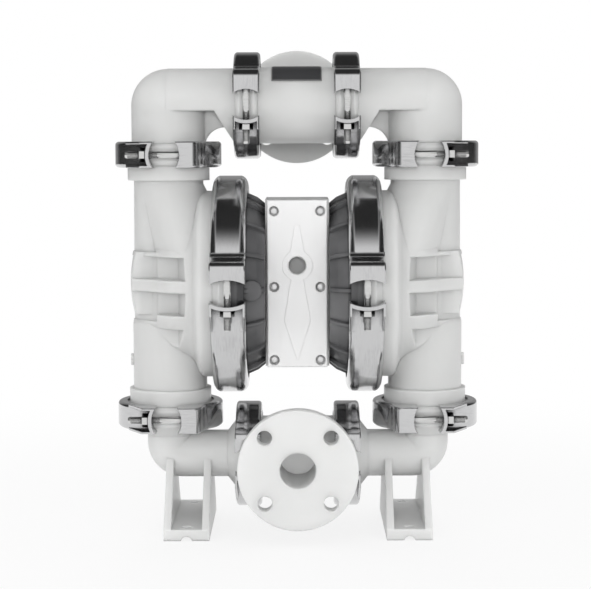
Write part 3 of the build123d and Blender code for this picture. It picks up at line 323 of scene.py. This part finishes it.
# Name, darker tone, lighter tone, roughness, grain and edge radius, with what else the plastic has
PLASTICS = {
    "white": ("milky_polypropylene", (0.61, 0.615, 0.61), (0.68, 0.68, 0.675), 0.34, 0.08, 0.0030, MILKY),
    # The liquid chambers and the discharge pieces take the same polypropylene a little darker, as painted
    # shade.
    "milky": ("milky_upper", (0.545, 0.55, 0.545), (0.605, 0.605, 0.60), 0.34, 0.08, 0.0030, MILKY),
    "inlet": ("milky_inlet", (0.62, 0.625, 0.62), (0.68, 0.68, 0.675), 0.34, 0.08, 0.0030, MILKY_INLET),
    "cover": ("white_cover", (0.69, 0.69, 0.69), (0.73, 0.73, 0.73), 0.34, 0.06, 0.0005, MILKY_COVER),
    "dark": ("dark_glass_filled", (0.015, 0.015, 0.016), (0.175, 0.175, 0.18), 0.25, 0.25, 0.0030, SHADED),
    "slippery": ("white_fluoropolymer", (0.80, 0.80, 0.79), (0.86, 0.86, 0.85), 0.45, 0.05, 0.0008, {}),
    "bearing": ("bearing_plastic", (0.55, 0.50, 0.38), (0.62, 0.57, 0.44), 0.45, 0.05, 0.0006, {}),
    "rubber": ("black_rubber", (0.018, 0.018, 0.018), (0.03, 0.03, 0.03), 0.7, 0.3, 0.0006, {}),
    "plate": ("bare_nameplate", (0.030, 0.030, 0.032), (0.055, 0.055, 0.058), 0.32, 0.12, 0.0003, {}),
    "plate_rim": ("nameplate_rim", (0.10, 0.10, 0.10), (0.16, 0.16, 0.16), 0.36, 0.10, 0.0003, {}),
}

# Name, colour, roughness, depth of the brush marks and edge radius
METALS = {
    "band": ("polished_band", BAND_LIGHT, 0.14, 0.05, 0.0014, {}),
    "upright_band": ("polished_upright_band", BAND_LIGHT, 0.14, 0.05, 0.0014, {"marks_run": ROUND_X}),
    "screw": ("bright_screw", (0.80, 0.80, 0.80), 0.30, 0.05, 0.0003, {"grimy": False}),
    "bolt": ("bolt_steel", (0.66, 0.66, 0.655), 0.22, 0.10, 0.0004, {}),
    "alloy": ("machined_alloy", (0.70, 0.70, 0.71), 0.30, 0.10, 0.0005, {}),
}


def make_finishes():
    finishes = {key: moulded(*plain, **more) for key, (*plain, more) in PLASTICS.items()}
    finishes.update({key: polished(*plain, **more) for key, (*plain, more) in METALS.items()})
    return finishes


# Which finish each CAD node takes, by the start of its name
NODE_FINISHES = (
    ("front_cover", "cover"),
    ("inlet_tee", "inlet"),
    ("liquid_chamber", "milky"),
    ("discharge_elbow", "milky"),
    ("discharge_tee", "milky"),
    ("air_chamber_screws", "bolt"),
    ("air_chamber", "dark"),
    ("valve_body", "dark"),
    ("valve_cap", "dark"),
    ("valve_spool", "alloy"),
    ("valve_gasket", "rubber"),
    ("valve_screws", "bolt"),
    ("cover_gasket", "rubber"),
    ("cover_screws", "bolt"),
    ("large_clamp_bolts", "bolt"),
    ("large_clamp_nuts", "bolt"),
    ("small_clamp_bolts", "bolt"),
    ("small_clamp_nuts", "bolt"),
    ("large_clamp", "upright_band"),
    ("column_clamp", "band"),
    ("tee_clamp", "upright_band"),
    ("ball_", "slippery"),
    ("seat_o_rings", "rubber"),
    ("tee_o_rings", "rubber"),
    ("seat_", "slippery"),
    ("diaphragm", "rubber"),
    ("inner_piston", "alloy"),
    ("outer_piston", "slippery"),
    ("shaft_bushing", "bearing"),
    ("shaft_seals", "rubber"),
    ("pilot_sleeve", "bearing"),
    ("pilot_spool", "alloy"),
    ("shaft", "bolt"),
    ("", "white"),
)


def dress_nodes(finishes):
    for name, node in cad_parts.items():
        key = next(finish for start, finish in NODE_FINISHES if name.startswith(start))
        for slot in node.material_slots:
            slot.material = finishes[key]


def lathe(bm, profile, steps):
    """Spin a (radius, height) outline about Z; it starts and ends on the axis."""
    corners = [bm.verts.new((r, 0, z)) for r, z in profile]
    lines = [bm.edges.new(pair) for pair in zip(corners, corners[1:])]
    bmesh.ops.spin(bm, geom=corners + lines, cent=(0, 0, 0), axis=(0, 0, 1), angle=2 * math.pi,
                   steps=steps, use_merge=True)
    bmesh.ops.remove_doubles(bm, verts=bm.verts, dist=SAME_POINT)


def hex_prism(bm, low, high):
    """Hexagon on Z with its outer corners broken at both ends."""
    start = set(bm.verts)
    corner_r = HEX_ACROSS / math.sqrt(3)
    place = Matrix.Translation((0, 0, (low + high) / 2)) @ Matrix.Rotation(math.radians(30), 4, "Z")
    bmesh.ops.create_cone(bm, cap_ends=True, segments=6, radius1=corner_r, radius2=corner_r,
                          depth=high - low, matrix=place)
    new = [v for v in bm.verts if v not in start]
    rings = [e for e in bm.edges
             if e.verts[0] in new and abs(e.verts[0].co.z - e.verts[1].co.z) < SAME_POINT]
    bmesh.ops.bevel(bm, geom=rings, offset=HEX_CHAMFER, segments=2, profile=0.5, affect="EDGES",
                    material=-1)


def thread_profile(low, high, core):
    """Ridges of a screw thread between two heights, as rings."""
    points = []
    turns = int((high - low) / THREAD_PITCH)
    for turn in range(turns):
        z = low + turn * THREAD_PITCH
        points += [(core, z), (core + THREAD_DEPTH, z + THREAD_PITCH / 2)]
    return points + [(core, high - THREAD_PITCH / 4)]


def clamp_seat(ear_gap):
    return ear_gap / 2 + EAR_WALL


def clamp_bolt_y(clamp_r, ear_gap):
    return math.sqrt((clamp_r + SEAT_GAP) ** 2 - clamp_seat(ear_gap) ** 2) + HEX_ACROSS / 2


def bolt_mesh(ear_gap):
    """Bolt on Z with its head below and its thread above."""
    seat = clamp_seat(ear_gap)
    end = seat + NUT_HEIGHT + THREAD_TAIL
    core = BOLT_R - THREAD_DEPTH
    thread_start = seat - THREAD_LENGTH_UNDER_NUT
    foot = -seat - SHANK_IN_HEAD
    bm = bmesh.new()
    outline = [(0, foot), (BOLT_R, foot), (BOLT_R, thread_start - THREAD_RUNOUT)]
    outline += thread_profile(thread_start, end - END_CHAMFER_LENGTH, core)
    outline += [(core - END_CHAMFER_DEPTH, end), (0, end)]
    lathe(bm, outline, BOLT_SIDES)
    hex_prism(bm, -seat - HEAD_HEIGHT, -seat)
    return finish_mesh(bm, "clamp_bolt")


def nut_mesh(ear_gap):
    seat = clamp_seat(ear_gap)
    bm = bmesh.new()
    hex_prism(bm, seat, seat + NUT_HEIGHT)
    return finish_mesh(bm, "clamp_nut")


def finish_mesh(bm, name):
    bmesh.ops.recalc_face_normals(bm, faces=bm.faces)
    mesh = bpy.data.meshes.new(name)
    bm.to_mesh(mesh)
    bm.free()
    return mesh


def piece(name, meshes, finish, body=None):
    """One object from meshes and their places, finished and, where a body is given, riding on it."""
    bm = bmesh.new()
    for mesh, place in meshes:
        start = len(bm.verts)
        bm.from_mesh(mesh)
        bm.verts.ensure_lookup_table()
        bmesh.ops.transform(bm, matrix=place, verts=bm.verts[start:])
    bmesh.ops.recalc_face_normals(bm, faces=bm.faces)
    data = finish_mesh(bm, name)
    data.materials.append(finish)
    shown = bpy.data.objects.new(name, data)
    bpy.context.scene.collection.objects.link(shown)
    data.polygons.foreach_set("use_smooth", [True] * len(data.polygons))
    data.set_sharp_from_angle(angle=SHARP_ANGLE)
    if body:
        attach(shown, body)
    return shown


MIRROR_X = Matrix.Scale(-1, 4, (1, 0, 0))
MIRROR_Y = Matrix.Scale(-1, 4, (0, 1, 0))


def four_ways(place):
    """The same fastener at the front and back of both sides."""
    return [place, MIRROR_Y @ place, MIRROR_X @ place, MIRROR_X @ MIRROR_Y @ place]


def along_x(clamp_r, ear_gap):
    """Puts a bolt made on Z along X at the clamp's front ears."""
    turn = Matrix.Rotation(math.pi / 2, 4, "Y")
    return Matrix.Translation((0, -clamp_bolt_y(clamp_r, ear_gap), 0)) @ turn


def clamp_places():
    turn = Matrix.Rotation(math.pi / 2, 4, "Y")
    small = [
        Matrix.Translation((COLUMN_X, 0, LOWER_JOINT_Z)),
        Matrix.Translation((COLUMN_X, 0, UPPER_JOINT_Z)),
        Matrix.Translation((TEE_JOINT_X, 0, INLET_AXIS_Z)) @ turn,
        Matrix.Translation((TEE_JOINT_X, 0, DISCHARGE_AXIS_Z)) @ turn,
    ]
    large = [Matrix.Translation((CHAMBER_JOINT_X, 0, SHAFT_Z)) @ turn]
    return small, large


def make_fasteners(finishes):
    small, large = clamp_places()
    for size, places, clamp_r, ear_gap in (
        ("small", small, SMALL_CLAMP_R, SMALL_EAR_GAP),
        ("large", large, LARGE_CLAMP_R, LARGE_EAR_GAP),
    ):
        local = along_x(clamp_r, ear_gap)
        spots = [spot for place in places for spot in four_ways(place @ local)]
        for kind, mesh in (("bolts", bolt_mesh(ear_gap)), ("nuts", nut_mesh(ear_gap))):
            placed = [(mesh, spot) for spot in spots]
            shown = piece(f"{size}_clamp_{kind}_detailed", placed, finishes["bolt"], "pump")
            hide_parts(f"{size}_clamp_{kind}")


def make_cover_screws(finishes):
    """Domed screw heads low in their recesses, each with a socket."""
    bm = bmesh.new()
    outline = [(0, -COVER_SCREW_LENGTH), (COVER_SCREW_R, -COVER_SCREW_LENGTH), (COVER_SCREW_R, 0)]
    outline.append((COVER_HEAD_R, 0))
    for step in range(DOME_STEPS):
        angle = step * DOME_STEP
        radius = COVER_HEAD_R * math.cos(angle)
        if radius > COVER_SOCKET_R:
            dome = COVER_HEAD_SIDE + (1 - COVER_HEAD_SIDE) * math.sin(angle)
            outline.append((radius, COVER_HEAD_HEIGHT * dome))
    top = outline[-1][1]
    floor = top - COVER_SOCKET_DEPTH
    outline += [(COVER_SOCKET_R, top), (COVER_SOCKET_R, floor), (0, floor)]
    lathe(bm, outline, SCREW_SIDES)
    mesh = finish_mesh(bm, "cover_screw")
    turn = Matrix.Rotation(math.pi / 2, 4, "X")
    spots = [Matrix.Translation((x, COVER_SCREW_SEAT_Y, SHAFT_Z + z)) @ turn
             for x in (-COVER_SCREW_X, COVER_SCREW_X) for z in COVER_SCREW_HEIGHTS]
    shown = piece("cover_screws_detailed", [(mesh, spot) for spot in spots], finishes["screw"], "pump")
    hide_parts("cover_screws")


def diaphragm_sector(angle):
    """Wedge of a diaphragm about X, from its hole to its rim, centred on Z, with one round convolution."""
    middle = [(DIAPHRAGM_HOLE_R, 0), (DIAPHRAGM_FLAT_R, 0)]
    for step in range(FLEX_STEPS + 1):
        share = step / FLEX_STEPS
        radius = FLEX_START_R + (FLEX_END_R - FLEX_START_R) * share
        middle.append((radius, -CONVOLUTION / 2 * (1 - math.cos(2 * math.pi * share))))
    middle += [(DIAPHRAGM_CLAMPED_R, 0), (DIAPHRAGM_RIM_R, 0)]
    outline = [(x - DIAPHRAGM_HALF, r) for r, x in middle]
    outline += [(x + DIAPHRAGM_HALF, r) for r, x in reversed(middle)]
    bm = bmesh.new()
    section = bm.faces.new([bm.verts.new((x, 0, r)) for x, r in outline])
    bmesh.ops.rotate(bm, cent=(0, 0, 0), matrix=Matrix.Rotation(-angle / 2, 3, "X"), verts=bm.verts)
    geometry = [section, *section.edges, *section.verts]
    bmesh.ops.spin(bm, geom=geometry, cent=(0, 0, 0), axis=(1, 0, 0), angle=angle, steps=SECTOR_STEPS)
    bmesh.ops.remove_doubles(bm, verts=bm.verts, dist=SAME_POINT)
    bmesh.ops.holes_fill(bm, edges=[edge for edge in bm.edges if edge.is_boundary])
    return finish_mesh(bm, "diaphragm_sector")


def make_diaphragms(finishes):
    """Each diaphragm in sectors round the shaft, from its hole to the clamped rim."""
    angle = 2 * math.pi / DIAPHRAGM_SECTORS
    mesh = diaphragm_sector(angle)
    for side, mirror in (("right", Matrix.Identity(4)), ("left", MIRROR_X)):
        for number in range(DIAPHRAGM_SECTORS):
            turn = Matrix.Rotation(number * angle, 4, "X")
            place = mirror @ Matrix.Translation((CHAMBER_JOINT_X, 0, SHAFT_Z)) @ turn
            shown = piece(f"diaphragm_{side}_sector_{number + 1}", [(mesh, place)], finishes["rubber"])
            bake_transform(shown)
            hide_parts(f"diaphragm_{side}")


def make_nameplate(finishes):
    """Bare dark plate, bent to the front of the discharge tee, with a rim round its field."""
    for name, border, rise, finish in (
        ("nameplate", 0.0, 0.0, "plate_rim"),
        ("nameplate_field", PLATE_BORDER, PLATE_RISE, "plate"),
    ):
        bm = bmesh.new()
        bmesh.ops.create_grid(bm, x_segments=2, y_segments=10, size=0.5)
        radius = TEE_R + rise
        width = PLATE_WIDTH - 2 * border
        span = (PLATE_HEIGHT - 2 * border) / TEE_R
        for v in bm.verts:
            angle = PLATE_ANGLE + v.co.y * span
            v.co = Vector((v.co.x * width, -radius * math.cos(angle), radius * math.sin(angle)))
        bmesh.ops.solidify(bm, geom=bm.faces, thickness=-PLATE_THICKNESS)
        place = Matrix.Translation((0, 0, DISCHARGE_AXIS_Z))
        shown = piece(name, [(finish_mesh(bm, name), place)], finishes[finish], "pump")


def add_area_light(name, place, aim, size, power):
    data = bpy.data.lights.new(name, "AREA")
    data.shape = "RECTANGLE"
    data.size, data.size_y = size
    data.energy = power
    lamp = bpy.data.objects.new(name, data)
    lamp.location = place
    lamp.rotation_euler = (Vector(aim) - Vector(place)).to_track_quat("-Z", "Y").to_euler()
    bpy.context.scene.collection.objects.link(lamp)
    return lamp


def make_studio():
    """White surroundings for the camera, even light, and screens for gloss."""
    world = bpy.data.worlds.new("studio")
    bpy.context.scene.world = world
    world.use_nodes = True
    studio = Nodes(world.node_tree)
    towards = studio.node("ShaderNodeSeparateXYZ", None, studio.node("ShaderNodeTexCoord")["Generated"])
    sideways = towards["X"].math("ABSOLUTE")
    front = towards["Z"].step(*FRONT_TOP_EDGE) * towards["Y"].step(*FRONT_EDGE)
    between_screens = sideways.step(*SIDE_EDGE)
    back = towards["Y"].step(*BACK_EDGE) * towards["Z"].step(*BACK_TOP_EDGE)
    gloss = SCREEN_GLOSS + between_screens * (front * FRONT_GLOSS + back * BACK_GLOSS)
    path = studio.node("ShaderNodeLightPath")
    strength = SKY + (path["Is Camera Ray"] + path["Is Transmission Ray"]) * (1.0 - SKY)
    white = (1, 1, 1, 1)
    seen = studio.node("ShaderNodeBackground", None, Color=white, Strength=strength)["Background"]
    mirrored = studio.node("ShaderNodeBackground", None, Color=white, Strength=gloss)["Background"]
    light = studio.node("ShaderNodeMixShader", None, path["Is Glossy Ray"], seen, mirrored)["Shader"]
    studio.feed(studio.tree.nodes["World Output"].inputs["Surface"], light)
    lamps = (
        add_area_light("key_left", (-1.5, -1.8, 0.7), (0, 0, 0.22), (1.0, 0.8), 7),
        add_area_light("fill_right", (1.5, -1.8, 0.4), (0, 0, 0.20), (1.0, 0.6), 6),
        add_area_light("front", (0, -2.3, 0.55), (0, 0, 0.12), (0.5, 0.4), 16),
        add_area_light("back", (0, 2.3, 0.9), (0, 0, 0.25), (1.0, 0.8), 14),
    )
    for lamp in lamps:
        lamp.visible_glossy = False


def make_floor():
    """Pale floor that fades into the white backdrop and keeps the pump's shadow."""
    bm = bmesh.new()
    bmesh.ops.create_grid(bm, x_segments=1, y_segments=1, size=FLOOR_SIZE)
    data = finish_mesh(bm, "floor")
    finish = Finish("pale_floor", Base_Color=(0.86, 0.86, 0.86, 1), Roughness=0.9)
    reach = finish.node("ShaderNodeVectorMath", {"operation": "LENGTH"}, finish.place())["Value"]
    white = FLOOR_GLOW + reach.step(FLOOR_NEAR, FLOOR_FAR) * (1.0 - FLOOR_GLOW)
    path = finish.node("ShaderNodeLightPath")
    factor = (path["Is Camera Ray"] + path["Is Glossy Ray"] + path["Is Transmission Ray"]) * white
    glow = finish.node("ShaderNodeEmission")["Emission"]
    plain = Value(finish, finish.shader.outputs["BSDF"])
    mixed = finish.node("ShaderNodeMixShader", None, factor, plain, glow)["Shader"]
    finish.feed(finish.tree.nodes["Material Output"].inputs["Surface"], mixed)
    data.materials.append(finish.material)
    floor = bpy.data.objects.new("floor", data)
    bpy.context.scene.collection.objects.link(floor)


def make_camera():
    data = bpy.data.cameras.new("camera")
    data.sensor_width = SENSOR_WIDTH
    data.lens = FOCAL_PIXELS / PHOTO_WIDTH * SENSOR_WIDTH
    data.shift_x = -(PUMP_CENTRE_X - PHOTO_CENTRE_X) / PHOTO_WIDTH
    camera = bpy.data.objects.new("camera", data)
    camera.location = (0, -CAMERA_DISTANCE, CAMERA_HEIGHT)
    camera.rotation_euler = (math.pi / 2 - CAMERA_TILT, CAMERA_ROLL, 0)
    bpy.context.scene.collection.objects.link(camera)
    bpy.context.scene.camera = camera


bpy.context.scene.view_settings.view_transform = "Standard"
make_camera()
finishes = make_finishes()
dress_nodes(finishes)
make_fasteners(finishes)
make_cover_screws(finishes)
make_diaphragms(finishes)
make_nameplate(finishes)
make_studio()
make_floor()
